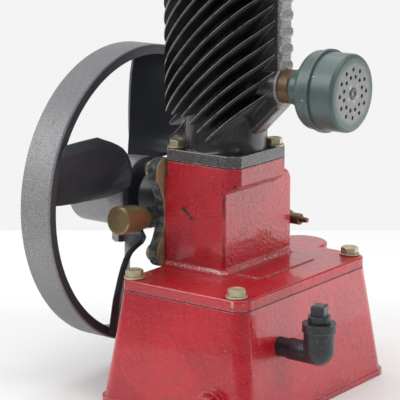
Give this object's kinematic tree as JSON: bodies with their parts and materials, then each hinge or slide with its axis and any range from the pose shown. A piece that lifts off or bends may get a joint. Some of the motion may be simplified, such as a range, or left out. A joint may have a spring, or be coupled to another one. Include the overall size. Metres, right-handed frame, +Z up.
{
  "type": "single-cylinder air compressor pump",
  "caption": "Belt-driven single-cylinder air compressor pump: oil sump base, crankcase, slanted-fin cylinder, round intake filter and a fan-bladed flywheel that turns.",
  "frame": {"origin": "on the ground, at the sump's flat bottom, straight under the cylinder's axis", "axes": "+X along the crank from the flywheel towards the intake filter, +Z up along the cylinder"},
  "size_m": [0.2654, 0.2308, 0.342],
  "materials": {
    "red_enamel": "gloss enamel on rough castings",
    "black_enamel": "gloss black paint, worn on the fin edges",
    "worn_iron": "dark worn iron",
    "steel": "turned",
    "brass": "aged",
    "gasket": "oiled gasket sheet",
    "filter_green": "satin grey-green paint",
    "bronze_brown": "dull",
    "felt": "dark felt",
    "black_fitting": "satin black malleable iron"
  },
  "bodies": {
    "pump": {"base_sump": "red_enamel", "base_gasket": "gasket", "crankcase": "red_enamel", "bearing_gasket": "gasket", "bearing_housing": "worn_iron", "grease_cup_stem": "brass", "grease_cup_body": "brass", "grease_cup_cap": "brass", "cylinder_gasket": "gasket", "cylinder": "black_enamel", "head_gasket": "gasket", "cylinder_head": "black_enamel", "intake_bushing": "bronze_brown", "filter_collar": "filter_green", "filter_back_shell": "filter_green", "filter_front_shell": "filter_green", "filter_element": "felt", "oil_fill_nipple": "black_fitting", "oil_fill_elbow": "black_fitting", "oil_fill_plug": "black_fitting", "drain_plug": "black_fitting", "oil_cock_body": "brass", "oil_cock_spout": "brass"},
    "flywheel": {"flywheel": "worn_iron", "crankshaft": "steel"}
  },
  "joints": [
    {"name": "flywheel_spin", "type": "hinge", "parent": "pump", "child": "flywheel", "pos_m": [-0.088, 0, 0.1377], "axis": [1, 0, 0], "continuous": true}
  ]
}
